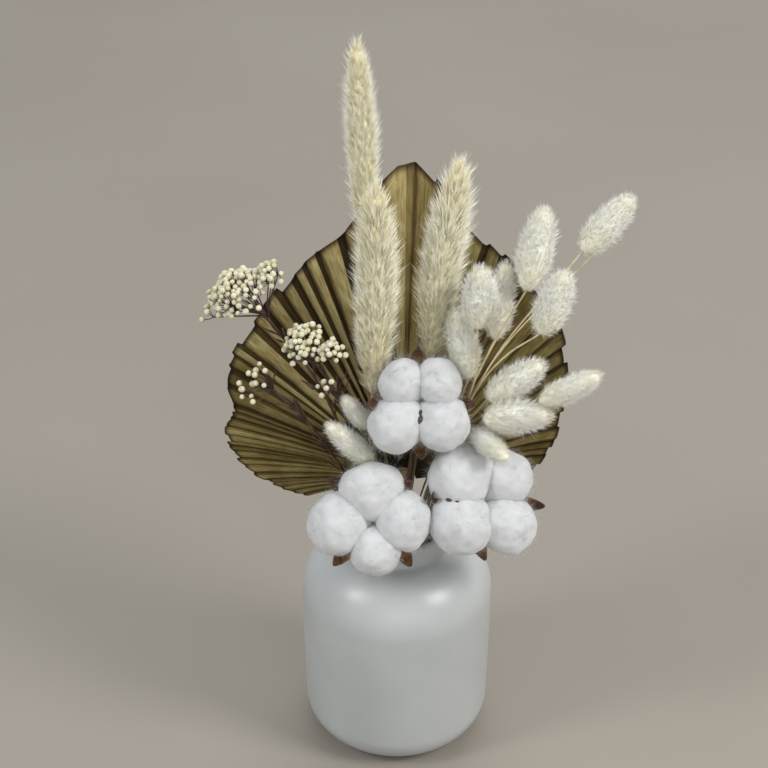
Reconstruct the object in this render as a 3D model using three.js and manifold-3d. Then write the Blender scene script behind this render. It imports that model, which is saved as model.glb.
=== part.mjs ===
// A dried flower arrangement in a white jar vase: three open cotton bolls, twelve bunny tail
// grasses, three long grass plumes, four sprigs of rice flower and one trimmed, pleated palm leaf.
// Units are millimetres, +Z is up, and the origin is the centre of the vase's flat base.
// The front of the arrangement, where the bolls hang over the rim, faces -Y.
import * as THREE from "three";
import { mergeVertices } from "three/addons/utils/BufferGeometryUtils.js";
import Module from "manifold-3d";

const wasm = await Module();
wasm.setup();

// ---------------------------------------------------------------- driving dimensions

const VASE = {
  radius: 52,
  footRadius: 51,
  wall: 4,
  baseRound: 20,
  shoulderStart: 90,
  shoulderRound: 30,
  neckRadius: 26,
  rimRadius: 28,
  height: 132,
  segments: 36,
};
const MOUTH_HEIGHT = VASE.height - 1; // where each stem passes the rim
const STEM_FOOT = VASE.wall + 1.5; // cut ends stand just clear of the vase's floor
const FOOT_SHARE = 0.7; // a cut end's distance from the vase's axis over its stem's at the rim
const GAP = 0.3; // clearance left between pieces that touch

const PALM = {
  hub: [3, 12, 151],
  tilt: 15, // degrees the blade leans back
  pleats: 30,
  pleatDepth: 4.5,
  thickness: 1,
  cup: 12, // how far the side edges come forward
  innerRadius: 7,
  petioleRadius: 2.6,
  mouth: [2, 11],
};
// Blade length from the hub at each angle from upright: a spade with a pointed tip.
const PALM_OUTLINE = [
  [-98, 52],
  [-84, 79],
  [-77, 91],
  [-69, 101],
  [-64, 98],
  [-57, 112],
  [-40, 119],
  [-31, 125],
  [-23, 133],
  [-13, 141],
  [-4, 162],
  [1, 175],
  [6, 162],
  [15, 142],
  [23, 134],
  [34, 126],
  [43, 118],
  [54, 104],
  [69, 87],
  [84, 68],
];

const BUNNY_STEM_RADIUS = 0.6;
const PLUME_STEM_RADIUS = 1.1;
const COTTON_STEM_RADIUS = 1.7;
const RICE_STEM_RADIUS = 0.8;
const RICE_TWIG_RADIUS = 0.55;
const RICE_BUD_RADIUS = 2.5;

// Radius along a flower head, as [share of the head's length, share of its radius].
const BUNNY_SHAPE = [[0, 0], [0.03, 0.45], [0.16, 0.85], [0.4, 1], [0.68, 0.85], [0.9, 0.5], [1, 0]];
const PLUME_SHAPE = [
  [0, 0],
  [0.02, 0.3],
  [0.12, 0.62],
  [0.3, 0.88],
  [0.52, 1],
  [0.75, 0.8],
  [0.92, 0.42],
  [1, 0],
];
const BRACT_SHAPE = [[0, 0], [0.04, 0.8], [0.3, 1], [0.65, 0.8], [0.88, 0.4], [1, 0]];

// ---------------------------------------------------------------- the flowers and where they stand
// mouth is where a stem passes the rim, as [x, y]; knot and bend are points it passes higher up.

const BUNNY_TAILS = [
  { base: [63, -4, 273], tip: [71, 4, 312], radius: 7, mouth: [14, 1], knot: [42, -8, 232] },
  { base: [90, 0, 292], tip: [112, 4, 318], radius: 6.3, mouth: [18, 0], knot: [45, -9, 231] },
  { base: [68, -34, 265], tip: [78, -34, 296], radius: 6.5, mouth: [14, -5], knot: [43, -14, 229] },
  { base: [39, -14, 257], tip: [40, -10, 287], radius: 7, mouth: [10, -3], knot: [39, -12, 230] },
  { base: [49, 1, 243], tip: [53, 5, 283], radius: 5.8, mouth: [12, 4], knot: [40, -5, 226] },
  { base: [36, -7, 225], tip: [29, -5, 262], radius: 6.3, mouth: [8, -4], knot: [28, -5, 200] },
  { base: [45, -16, 218], tip: [71, -20, 240], radius: 6.5, mouth: [10, -8], knot: [32, -12, 196] },
  { base: [43, -24, 211], tip: [74, -35, 220], radius: 7, mouth: [14, -9], knot: [37, -15, 192] },
  { base: [70, -28, 223], tip: [97, -37, 243], radius: 5.2, mouth: [18, -6], knot: [47, -12, 199] },
  { base: [38, -25, 204], tip: [54, -43, 199], radius: 5, mouth: [10, -12], knot: [25, -12, 184] },
  { base: [-13, -22, 184], tip: [-35, -30, 211], radius: 5, mouth: [-7, -10], knot: [-9, -16, 160] },
  { base: [-15, -14, 200], tip: [-27, -16, 218], radius: 4, mouth: [-10, -7], knot: [-12, -11, 165] },
];
// A grass stem whose head has fallen off.
const BARE_STEM = { tip: [99, 9, 289], mouth: [17, 4], knot: [45, -6, 229] };

const PLUMES = [
  {
    route: [[-16, 27, 286], [-18, 35, 335], [-20, 41, 381]], radius: 7,
    mouth: [-6, 8], bend: [-7, 16, 210],
  },
  {
    route: [[-13, -5, 214], [-11, 0, 262], [-11, 8, 320]], radius: 9.5,
    mouth: [-7, 2], bend: [-12, -1, 180],
  },
  { route: [[16, 4, 229], [21, 8, 275], [30, 19, 327]], radius: 9.5, mouth: [6, 4], bend: [12, 4, 190] },
];

// facing is the direction each open boll looks in; roll turns its four locks about it, in degrees.
// locks gives each one's size along its own direction and across it, as shares of the usual size.
const COTTON = [
  {
    centre: [11, -22, 220], facing: [0, -0.87, 0.5], roll: 0,
    spread: 14, lock: 12.5, reach: 27, mouth: [3, -6],
    locks: [[0.92, 0.92], [0.9, 0.88], [1.16, 1.05], [1.08, 1.05]],
  },
  {
    centre: [-12, -42, 161], facing: [-0.1, -0.88, 0.46], roll: 45,
    spread: 16, lock: 14, reach: 30, mouth: [-4, -16],
    locks: [[0.98, 1.2], [1.1, 1.1], [0.9, 0.9], [0.9, 1.15]],
  },
  {
    centre: [44, -32, 168], facing: [0.3, -0.82, 0.48], roll: 9,
    spread: 15.5, lock: 14, reach: 30, mouth: [9, -17],
    locks: [[1, 1], [1.14, 1.2], [1.1, 1.15], [1.12, 1.02]],
  },
];
const LOCK_DEPTH = 0.9; // a lock's size along the facing direction over its size across it
const BRACT = { radius: 2.4, lift: 8 };

const RICE = [
  {
    head: [-76, -2, 269], facing: [-0.5, -0.4, 0.75],
    radius: 18, buds: 22, mouth: [-16, 5], bend: [-36, 4, 205],
  },
  {
    head: [-44, -7, 242], facing: [-0.25, -0.5, 0.8],
    radius: 13, buds: 12, mouth: [-13, 2], bend: [-24, 2, 190],
  },
  {
    head: [-71, -8, 222], facing: [-0.5, -0.6, 0.6],
    radius: 10, buds: 8, mouth: [-17, -1], bend: [-36, -1, 180],
  },
  {
    head: [-35, -13, 222], facing: [-0.4, -0.7, 0.6],
    radius: 5, buds: 4, mouth: [-14, -4], bend: [-22, -4, 180],
  },
];

// ---------------------------------------------------------------- colours

const finish = (color, roughness) => new THREE.MeshStandardMaterial({ color, roughness, metalness: 0 });
const CERAMIC = finish(0xe4e7e6, 0.35);
const LINT = finish(0xf3f4f6, 1);
const BRACT_BROWN = finish(0x7a4f30, 0.8);
const WOOD_STEM = finish(0x5a4432, 0.85);
const TAIL_CREAM = finish(0xece6d2, 1);
const PLUME_CREAM = finish(0xddd4ac, 1);
const STRAW = finish(0xd8c795, 0.7);
const BUD_CREAM = finish(0xe9e6c9, 0.8);
const TWIG_BROWN = finish(0x5b4036, 0.85);
const PALM_OLIVE = finish(0x8d8256, 0.75);

// ---------------------------------------------------------------- shape helpers

const UP = new THREE.Vector3(0, 0, 1);
const vector = (p) => new THREE.Vector3(...p);
const radians = THREE.MathUtils.degToRad;
const smoothCurve = (points) => new THREE.CatmullRomCurve3(points.map(vector), false, "centripetal");

// A closed geometry as a manifold-3d solid, and back.
function solidOf(geometry) {
  const bare = geometry.index ? geometry.toNonIndexed() : geometry.clone();
  bare.deleteAttribute("normal");
  bare.deleteAttribute("uv");
  const merged = mergeVertices(bare, 1e-4);
  const vertProperties = new Float32Array(merged.attributes.position.array);
  const triVerts = new Uint32Array(merged.index.array);
  return new wasm.Manifold(new wasm.Mesh({ numProp: 3, vertProperties, triVerts }));
}

function geometryOf(solid) {
  const mesh = solid.getMesh();
  const geometry = new THREE.BufferGeometry();
  geometry.setAttribute("position", new THREE.BufferAttribute(new Float32Array(mesh.vertProperties), 3));
  geometry.setIndex(new THREE.BufferAttribute(new Uint32Array(mesh.triVerts), 1));
  return geometry;
}

const joined = (geometries) => geometryOf(geometries.map(solidOf).reduce((a, b) => a.add(b)));

// A round body that follows a curve; shape lists [share of the length, share of the radius].
function loft(points, radius, shape, sides) {
  const curve = smoothCurve(points);
  const FRAMES = 50;
  const frames = curve.computeFrenetFrames(FRAMES, false);
  const profile = shape.map(([along, share]) => new THREE.Vector2(radius * share, along));
  const geometry = new THREE.LatheGeometry(profile, sides);
  const position = geometry.attributes.position;
  for (let i = 0; i < position.count; i++) {
    const along = THREE.MathUtils.clamp(position.getY(i), 0, 1);
    const k = Math.round(along * FRAMES);
    const point = curve
      .getPointAt(along)
      .addScaledVector(frames.normals[k], position.getX(i))
      .addScaledVector(frames.binormals[k], -position.getZ(i));
    position.setXYZ(i, point.x, point.y, point.z);
  }
  return geometry;
}

// A round stem of one radius, with flat cut ends.
function stem(points, radius, sides = 6, steps = 9) {
  const section = new THREE.Shape();
  for (let i = 0; i < sides; i++) {
    const angle = (2 * Math.PI * i) / sides;
    const corner = [radius * Math.cos(angle), radius * Math.sin(angle)];
    i ? section.lineTo(...corner) : section.moveTo(...corner);
  }
  section.closePath();
  const extrudePath = smoothCurve(points);
  return new THREE.ExtrudeGeometry(section, { steps, extrudePath, bevelEnabled: false });
}

// The part of a stem inside the vase: from the cut end up through the mouth.
const lowerRoute = ({ mouth: [x, y] }) => [
  [x * FOOT_SHARE, y * FOOT_SHARE, STEM_FOOT],
  [x, y, MOUTH_HEIGHT],
];

// The point a little short of b on the way from a, which leaves the gap between touching pieces.
function shortOf(a, b, gap = GAP) {
  const from = vector(a);
  const to = vector(b);
  return to.addScaledVector(from.sub(to).normalize(), gap).toArray();
}

const group = new THREE.Group();

function addMesh(name, geometry, material, parent = group) {
  const mesh = new THREE.Mesh(geometry, material);
  mesh.name = name;
  parent.add(mesh);
  return mesh;
}

// ---------------------------------------------------------------- the vase

function vaseGeometry() {
  const { radius, footRadius, wall, baseRound, shoulderStart, shoulderRound } = VASE;
  const { neckRadius, rimRadius, height } = VASE;
  const quarter = Math.PI / 2;
  const shoulderX = radius - shoulderRound;
  const neckAngle = Math.acos((neckRadius - shoulderX) / shoulderRound);
  const innerRound = shoulderRound - wall;
  const innerNeckAngle = Math.acos((neckRadius - wall - shoulderX) / innerRound);
  const lip = wall / 2;
  const outline = new THREE.Path();
  outline.moveTo(0, 0);
  outline.lineTo(footRadius - baseRound, 0);
  outline.absarc(footRadius - baseRound, baseRound, baseRound, -quarter, 0, false);
  outline.lineTo(radius, shoulderStart);
  outline.absarc(shoulderX, shoulderStart, shoulderRound, 0, neckAngle, false);
  outline.lineTo(rimRadius, height - lip);
  outline.absarc(rimRadius - lip, height - lip, lip, 0, Math.PI, false);
  outline.lineTo(neckRadius - wall, shoulderStart + innerRound * Math.sin(innerNeckAngle));
  outline.absarc(shoulderX, shoulderStart, innerRound, innerNeckAngle, 0, true);
  outline.lineTo(footRadius - wall, baseRound);
  outline.absarc(footRadius - baseRound, baseRound, baseRound - wall, 0, -quarter, true);
  outline.lineTo(0, wall);
  return new THREE.LatheGeometry(outline.getPoints(3), VASE.segments).rotateX(quarter);
}

// ---------------------------------------------------------------- the palm leaf

function bladeLength(angle) {
  const i = PALM_OUTLINE.findLastIndex(([start], k) => k < PALM_OUTLINE.length - 1 && start <= angle);
  const [start, startLength] = PALM_OUTLINE[i];
  const [end, endLength] = PALM_OUTLINE[i + 1];
  return THREE.MathUtils.mapLinear(angle, start, end, startLength, endLength);
}

// A pleated fan: a thin box bent so that its width runs round the hub and its height runs outwards.
function palmBlade() {
  const folds = 2 * PALM.pleats;
  const rings = 3;
  const leftEdge = PALM_OUTLINE[0][0];
  const rightEdge = PALM_OUTLINE.at(-1)[0];
  const sideReach = bladeLength(80);
  const geometry = new THREE.BoxGeometry(1, 1, 1, folds, rings, 1);
  const position = geometry.attributes.position;
  for (let i = 0; i < position.count; i++) {
    const across = position.getX(i) + 0.5;
    const along = position.getY(i) + 0.5;
    const angle = THREE.MathUtils.lerp(leftEdge, rightEdge, across);
    const reach = THREE.MathUtils.lerp(PALM.innerRadius, bladeLength(angle), along);
    const fold = Math.round(across * folds) % 2 ? 1 : -1;
    const x = reach * Math.sin(radians(angle));
    const forward =
      PALM.cup * (x / sideReach) ** 2 * along +
      0.5 * PALM.pleatDepth * fold * (0.15 + 0.85 * along) +
      PALM.thickness * position.getZ(i);
    position.setXYZ(i, x, -forward, reach * Math.cos(radians(angle)));
  }
  return geometryOf(solidOf(geometry.rotateX(-radians(PALM.tilt)).translate(...PALM.hub)));
}

function addPalmLeaf() {
  addMesh("palm_blade", palmBlade(), PALM_OLIVE);
  const rise = new THREE.Vector3(0, 0, PALM.innerRadius - 2 * GAP);
  rise.applyAxisAngle(new THREE.Vector3(1, 0, 0), -radians(PALM.tilt));
  const route = [...lowerRoute(PALM), vector(PALM.hub).add(rise).toArray()];
  addMesh("palm_petiole", stem(route, PALM.petioleRadius, 8, 5), PALM_OLIVE);
}

// ---------------------------------------------------------------- grasses

function addBunnyTail(tail, number) {
  const name = `bunny_tail_${number}`;
  addMesh(`${name}_head`, loft([tail.base, tail.tip], tail.radius, BUNNY_SHAPE, 8), TAIL_CREAM);
  const route = [...lowerRoute(tail), tail.knot, shortOf(tail.knot, tail.base)];
  addMesh(`${name}_stem`, stem(route, BUNNY_STEM_RADIUS), STRAW);
}

function addPlume(plume, number) {
  const name = `plume_${number}`;
  addMesh(`${name}_head`, loft(plume.route, plume.radius, PLUME_SHAPE, 8), PLUME_CREAM);
  const route = [...lowerRoute(plume), plume.bend, shortOf(plume.bend, plume.route[0])];
  addMesh(`${name}_stem`, stem(route, PLUME_STEM_RADIUS), STRAW);
}

// ---------------------------------------------------------------- cotton bolls
// Each boll is built about its own centre, looking along +Z, then turned to face its way.

function bractGeometry(reach, angle, grow) {
  const out = (distance, depth) => [distance * Math.cos(angle), distance * Math.sin(angle), depth];
  const route = [out(2, -12), out(reach * 0.55, -9), out(reach * 0.85, 0), out(reach, BRACT.lift)];
  return loft(route, BRACT.radius + grow, BRACT_SHAPE, 6);
}

function burrSolid(reach, grow) {
  const cup = new THREE.SphereGeometry(7 + grow, 10, 6).scale(1, 1, 0.5).translate(0, 0, -13);
  const bracts = [0, 1, 2, 3].map((i) => bractGeometry(reach, i * (Math.PI / 2), grow));
  return [cup, ...bracts].map(solidOf).reduce((a, b) => a.add(b));
}

// One lock of lint: a soft ball kept to its own quarter of the boll, with room left for the burr.
function lockSolid(boll, index, room) {
  const angle = (index + 0.5) * (Math.PI / 2);
  const { spread, lock } = boll;
  const [along, across] = boll.locks[index];
  const ball = new THREE.SphereGeometry(lock, 10, 8).scale(along, across, LOCK_DEPTH);
  ball.translate(spread * along, 0, 0).rotateZ(angle);
  const size = 3 * (spread + lock);
  const quarter = new THREE.BoxGeometry(size, size, size);
  quarter.translate((size + GAP) / 2, (size + GAP) / 2, 0).rotateZ(index * (Math.PI / 2));
  return solidOf(ball).intersect(solidOf(quarter)).subtract(room);
}

function addCottonBoll(boll, number) {
  const name = `cotton_${number}`;
  const holder = new THREE.Group();
  holder.position.set(...boll.centre);
  holder.quaternion.setFromUnitVectors(UP, vector(boll.facing).normalize());
  holder.rotateZ(radians(boll.roll));
  group.add(holder);
  addMesh(`${name}_burr`, geometryOf(burrSolid(boll.reach, 0)), BRACT_BROWN, holder);
  const room = burrSolid(boll.reach, GAP);
  for (let i = 0; i < 4; i++) {
    addMesh(`${name}_lock_${i + 1}`, geometryOf(lockSolid(boll, i, room)), LINT, holder);
  }
  const facing = vector(boll.facing).normalize();
  const end = vector(boll.centre).addScaledVector(facing, -17.2);
  const lead = vector(boll.centre).addScaledVector(facing, -24).addScaledVector(UP, -8);
  const route = [...lowerRoute(boll), lead.toArray(), end.toArray()];
  addMesh(`${name}_stem`, stem(route, COTTON_STEM_RADIUS, 6, 10), WOOD_STEM);
}

// ---------------------------------------------------------------- rice flower

// Bud places on a shallow dome about +Z, spaced by the golden angle.
function domePoints(count, radius) {
  const GOLDEN_ANGLE = radians(137.5);
  return Array.from({ length: count }, (_, i) => {
    const distance = radius * Math.sqrt((i + 0.4) / count);
    const height = 0.35 * radius * (1 - (distance / radius) ** 2);
    return [distance * Math.cos(i * GOLDEN_ANGLE), distance * Math.sin(i * GOLDEN_ANGLE), height];
  });
}

function addRiceFlower(sprig, number) {
  const name = `rice_flower_${number}`;
  const turn = new THREE.Quaternion().setFromUnitVectors(UP, vector(sprig.facing).normalize());
  const reach = sprig.radius - RICE_BUD_RADIUS;
  const core = new THREE.SphereGeometry(sprig.radius - 1.5, 10, 4).scale(1, 1, 0.35);
  const buds = domePoints(sprig.buds, reach).map(([x, y, z]) =>
    new THREE.IcosahedronGeometry(RICE_BUD_RADIUS, 0).translate(x, y, z + 0.08 * sprig.radius),
  );
  const head = joined([core, ...buds]).applyQuaternion(turn).translate(...sprig.head);
  addMesh(`${name}_buds`, head, BUD_CREAM);

  // The stem forks a little below the head into branches that end just under it.
  const local = (...p) => vector(p).applyQuaternion(turn).add(vector(sprig.head)).toArray();
  const under = -0.35 * (sprig.radius - 1.5) - 1.5;
  const fork = local(0, 0, -1.3 * sprig.radius - 4);
  const main = stem([...lowerRoute(sprig), sprig.bend, fork], RICE_STEM_RADIUS);
  const branches = [0, 1, 2, 3, 4].map((i) => {
    const angle = (i * 2 * Math.PI) / 5;
    const out = (share) => [share * reach * Math.cos(angle), share * reach * Math.sin(angle)];
    const tip = local(...out(0.55), under);
    return stem([fork, local(...out(0.25), -0.9 * sprig.radius - 3), tip], RICE_TWIG_RADIUS, 5, 3);
  });
  const joint = new THREE.IcosahedronGeometry(1.2, 0).translate(...fork);
  addMesh(`${name}_stem`, joined([main, joint, ...branches]), TWIG_BROWN);
}

// ---------------------------------------------------------------- the whole arrangement

addMesh("vase", vaseGeometry(), CERAMIC);
addPalmLeaf();
PLUMES.forEach((plume, i) => addPlume(plume, i + 1));
BUNNY_TAILS.forEach((tail, i) => addBunnyTail(tail, i + 1));
const bareRoute = [...lowerRoute(BARE_STEM), BARE_STEM.knot, BARE_STEM.tip];
addMesh("bunny_tail_bare_stem", stem(bareRoute, BUNNY_STEM_RADIUS), STRAW);
COTTON.forEach((boll, i) => addCottonBoll(boll, i + 1));
RICE.forEach((sprig, i) => addRiceFlower(sprig, i + 1));

export default group;
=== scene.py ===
"""Looks of a dried flower arrangement: cotton bolls, bunny tail grass, long grass plumes,
rice flower and a pleated palm leaf, standing in a white jar vase. Lengths are in metres.
"""

import math
import random

import bmesh
import bpy
import numpy as np
from mathutils import Matrix, Vector, noise


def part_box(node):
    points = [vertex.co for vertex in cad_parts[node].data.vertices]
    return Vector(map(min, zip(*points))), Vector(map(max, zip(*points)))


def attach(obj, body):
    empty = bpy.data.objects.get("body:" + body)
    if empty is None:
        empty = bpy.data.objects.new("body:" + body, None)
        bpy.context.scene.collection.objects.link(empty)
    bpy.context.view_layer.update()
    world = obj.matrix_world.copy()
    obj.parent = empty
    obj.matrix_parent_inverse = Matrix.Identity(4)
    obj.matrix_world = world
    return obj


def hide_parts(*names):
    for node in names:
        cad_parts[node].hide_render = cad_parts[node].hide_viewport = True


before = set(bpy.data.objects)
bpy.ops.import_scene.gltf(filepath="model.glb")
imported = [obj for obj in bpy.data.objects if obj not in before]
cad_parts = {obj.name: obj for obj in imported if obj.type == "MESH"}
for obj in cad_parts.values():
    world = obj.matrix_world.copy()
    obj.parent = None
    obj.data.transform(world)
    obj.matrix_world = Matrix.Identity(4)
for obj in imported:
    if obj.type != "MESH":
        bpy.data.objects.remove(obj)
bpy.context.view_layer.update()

MM = 0.001
UP = Vector((0, 0, 1))
GOLDEN_ANGLE = math.radians(137.5)

BUNNY_TAILS = range(1, 13)
PLUMES = range(1, 4)
COTTON_BOLLS = range(1, 4)
RICE_FLOWERS = range(1, 5)


# ---------------------------------------------------------------- the camera, lights and floor

VIEW_HEIGHT_ANGLE = math.radians(30)  # how far the camera looks down
VIEW_ANGLE = math.radians(27)
VIEW_DISTANCE = 0.817
VIEW_TARGET = Vector((-0.007, 0, 0.2173))


def add_camera():
    camera = bpy.data.cameras.new("camera")
    camera.sensor_width = 36
    camera.lens = 18 / math.tan(VIEW_ANGLE / 2)
    camera.clip_start = 0.01
    holder = bpy.data.objects.new("camera", camera)
    back = Vector((0, -math.cos(VIEW_HEIGHT_ANGLE), math.sin(VIEW_HEIGHT_ANGLE)))
    holder.location = VIEW_TARGET + back * VIEW_DISTANCE
    holder.rotation_euler = (math.pi / 2 - VIEW_HEIGHT_ANGLE, 0, 0)
    bpy.context.scene.collection.objects.link(holder)
    bpy.context.scene.camera = holder


def add_area_light(name, place, aim, size, power, colour):
    lamp = bpy.data.lights.new(name, "AREA")
    lamp.shape = "RECTANGLE"
    lamp.size, lamp.size_y = size
    lamp.energy = power
    lamp.color = colour
    holder = bpy.data.objects.new(name, lamp)
    holder.location = place
    holder.rotation_euler = (Vector(aim) - Vector(place)).to_track_quat("-Z", "Y").to_euler()
    bpy.context.scene.collection.objects.link(holder)


def add_lights():
    aim = (0, 0, 0.18)
    add_area_light("window_left", (-1.1, -0.55, 1.2), aim, (0.3, 0.5), 8, (0.95, 0.98, 1))
    add_area_light("window_right", (1.15, -0.6, 1.25), aim, (0.5, 0.6), 16, (1, 0.99, 0.97))
    add_area_light("front", (0.2, -1.9, 0.9), aim, (1.6, 1.2), 8, (1, 0.99, 0.97))
    add_area_light("ceiling", (0.3, 2.2, 2.4), (0.1, 1.6, 0), (3, 2.4), 44, (1, 0.99, 0.98))
    world = bpy.data.worlds.new("soft_room")
    world.use_nodes = True
    background = world.node_tree.nodes["Background"]
    background.inputs["Color"].default_value = (0.93, 0.97, 1, 1)
    background.inputs["Strength"].default_value = 0.52
    bpy.context.scene.world = world
    bpy.context.scene.view_settings.view_transform = "Standard"


def add_floor():
    bm = bmesh.new()
    bmesh.ops.create_grid(bm, x_segments=8, y_segments=8, size=4)
    floor = object_from(bm, "floor", pale_floor())


# ---------------------------------------------------------------- small helpers for meshes


def mesh_from(bm, name):
    """A new mesh with what the bmesh holds, which is freed."""
    mesh = bpy.data.meshes.new(name)
    bm.to_mesh(mesh)
    bm.free()
    return mesh


def object_from(bm, name, *materials, smooth=False):
    """A new object at the origin whose mesh is the bmesh, which is freed."""
    mesh = mesh_from(bm, name)
    if smooth:
        mesh.shade_smooth()
    else:
        mesh.shade_flat()
    for material in materials:
        mesh.materials.append(material)
    piece = bpy.data.objects.new(name, mesh)
    bpy.context.scene.collection.objects.link(piece)
    return piece


def declare(piece, slot, *nodes):
    """The piece rides on the arrangement and stands for these CAD nodes."""
    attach(piece, "root")
    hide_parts(*nodes)


def evaluated_mesh(piece):
    """The piece's mesh with its modifiers applied; the piece itself is removed."""
    graph = bpy.context.evaluated_depsgraph_get()
    mesh = bpy.data.meshes.new_from_object(piece.evaluated_get(graph))
    bpy.data.objects.remove(piece)
    return mesh


def joined_copies(template_at_places):
    """A bmesh of a copy of a template mesh at each place, from (template, matrix) pairs."""
    whole, one = bmesh.new(), bmesh.new()
    carrier = bpy.data.meshes.new("carrier")
    for template, place in template_at_places:
        one.clear()
        one.from_mesh(template)
        one.transform(place)
        one.to_mesh(carrier)
        whole.from_mesh(carrier)
    one.free()
    bpy.data.meshes.remove(carrier)
    return whole


def coordinates(mesh):
    flat = np.empty(len(mesh.vertices) * 3)
    mesh.vertices.foreach_get("co", flat)
    return flat.reshape(-1, 3)


def add_point_values(mesh, name, values):
    """Stores one number per vertex, which the materials read by its name."""
    attribute = mesh.attributes.new(name, "FLOAT", "POINT")
    attribute.data.foreach_set("value", np.asarray(values, np.float32))


def canes(name, runs, material, sides=8):
    """Round canes along smooth runs of (point, radius), joined in one mesh."""
    curve = bpy.data.curves.new(name, "CURVE")
    curve.dimensions = "3D"
    curve.bevel_depth = 1
    curve.bevel_resolution = (sides - 4) // 2
    curve.resolution_u = 5
    curve.use_fill_caps = True
    for run in runs:
        spline = curve.splines.new("BEZIER")
        spline.bezier_points.add(len(run) - 1)
        for knot, (point, radius) in zip(spline.bezier_points, run):
            knot.co = point
            knot.radius = radius
            knot.handle_left_type = knot.handle_right_type = "AUTO"
    holder = bpy.data.objects.new(name, curve)
    bpy.context.scene.collection.objects.link(holder)
    mesh = evaluated_mesh(holder)
    bpy.data.curves.remove(curve)
    bm = bmesh.new()
    bm.from_mesh(mesh)
    bpy.data.meshes.remove(mesh)
    bmesh.ops.remove_doubles(bm, verts=bm.verts, dist=0.001 * MM)
    bmesh.ops.recalc_face_normals(bm, faces=bm.faces)
    return object_from(bm, name, material, smooth=True)


# ---------------------------------------------------------------- where the CAD puts things


def points_of(node):
    """The distinct vertices of a CAD node."""
    return np.unique(coordinates(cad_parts[node].data).round(6), axis=0)


def centre_line(node, sides):
    """(centres, radii) of a CAD node's rings of so many sides, from its lower end to its upper."""
    points = points_of(node)
    axis = np.linalg.svd(points - points.mean(0), full_matrices=False)[2][0]
    if axis[2] < 0:
        axis = -axis
    points = points[np.argsort(points @ axis)]
    has_poles = len(points) % sides == 2
    rings = points[1:-1] if has_poles else points
    rings = rings[: len(rings) // sides * sides].reshape(-1, sides, 3)
    centres = rings.mean(1)
    radii = np.linalg.norm(rings - centres[:, None], axis=2).mean(1)
    if has_poles:
        centres = np.vstack([points[0], centres, points[-1]])
        radii = np.hstack([0, radii, 0])
    return centres, radii


class Spine:
    """A flower head's middle line, with its places given by their share of its length."""

    def __init__(self, node, sides=8):
        self.centres, self.radii = centre_line(node, sides)
        steps = np.linalg.norm(np.diff(self.centres, axis=0), axis=1)
        self.shares = np.hstack([0, np.cumsum(steps)]) / steps.sum()
        self.widest = self.radii.max()

    def point(self, share):
        return Vector([np.interp(share, self.shares, self.centres[:, k]) for k in range(3)])

    def radius(self, share):
        return float(np.interp(share, self.shares, self.radii))

    def direction(self, share):
        return (self.point(min(1, share + 0.08)) - self.point(max(0, share - 0.08))).normalized()

    def outward(self, share, angle):
        """The unit vector that points straight out of the spine at an angle round it."""
        along = self.direction(share)
        side = along.cross(Vector((0, 1, 0))).normalized()
        return side * math.cos(angle) + along.cross(side) * math.sin(angle)

    def measure(self, mesh):
        """Each vertex's share along the spine, and its distance from it."""
        places = coordinates(mesh)
        fine = np.linspace(0, 1, 60)
        line = np.array([self.point(share) for share in fine])
        gaps = np.linalg.norm(places[:, None] - line[None], axis=2)
        nearest = gaps.argmin(1)
        return fine[nearest], gaps.min(1)


# ---------------------------------------------------------------- materials


def new_material(name, **settings):
    """A material and its Principled shader, with constant settings on the shader's own sockets."""
    material = bpy.data.materials.new(name)
    material.use_nodes = True
    shader = material.node_tree.nodes["Principled BSDF"]
    for socket, value in settings.items():
        shader.inputs[socket.replace("_", " ")].default_value = value
    return material, shader


class Recipe:
    """Short calls for wiring a material's nodes."""

    def __init__(self, material):
        self.tree = material.node_tree
        self.object_place = self.node("ShaderNodeTexCoord").outputs["Object"]

    def node(self, kind, **inputs):
        node = self.tree.nodes.new(kind)
        for socket, value in inputs.items():
            self.feed(node.inputs[socket.replace("_", " ")], value)
        return node

    def feed(self, socket, value):
        if isinstance(value, bpy.types.NodeSocket):
            self.tree.links.new(value, socket)
        else:
            socket.default_value = value

    def stretched(self, scale):
        mapping = self.node("ShaderNodeMapping", Vector=self.object_place)
        mapping.inputs["Scale"].default_value = scale
        return mapping.outputs["Vector"]

    def noise(self, scale, detail=3, place=None, distortion=0):
        node = self.node(
            "ShaderNodeTexNoise",
            Vector=place or self.object_place,
            Scale=scale,
            Detail=detail,
            Distortion=distortion,
        )
        return node.outputs["Fac"]

    def value(self, name):
        node = self.tree.nodes.new("ShaderNodeAttribute")
        node.attribute_name = name
        return node.outputs["Fac"]

    def ramp(self, factor, *stops):
        """A colour ramp through (position, colour) stops."""
        node = self.node("ShaderNodeValToRGB", Fac=factor)
        elements = node.color_ramp.elements
        while len(elements) < len(stops):
            elements.new(0.5)
        for element, (position, colour) in zip(elements, stops):
            element.position = position
            element.color = (*colour, 1)
        return node.outputs["Color"]

    def mix(self, factor, first, second, how="MIX"):
        node = self.tree.nodes.new("ShaderNodeMix")
        node.data_type = "RGBA"
        node.blend_type = how
        for socket, value in ((0, factor), (6, first), (7, second)):
            value = (*value, 1) if isinstance(value, tuple) and len(value) == 3 else value
            self.feed(node.inputs[socket], value)
        return node.outputs[2]

    def scaled(self, value, low, high):
        """A 0 to 1 value spread from low to high."""
        node = self.node("ShaderNodeMapRange", Value=value)
        node.inputs["To Min"].default_value = low
        node.inputs["To Max"].default_value = high
        return node.outputs["Result"]

    def bump(self, height, strength, distance):
        node = self.node("ShaderNodeBump", Height=height)
        node.inputs["Strength"].default_value = strength
        node.inputs["Distance"].default_value = distance
        return node.outputs["Normal"]


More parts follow.
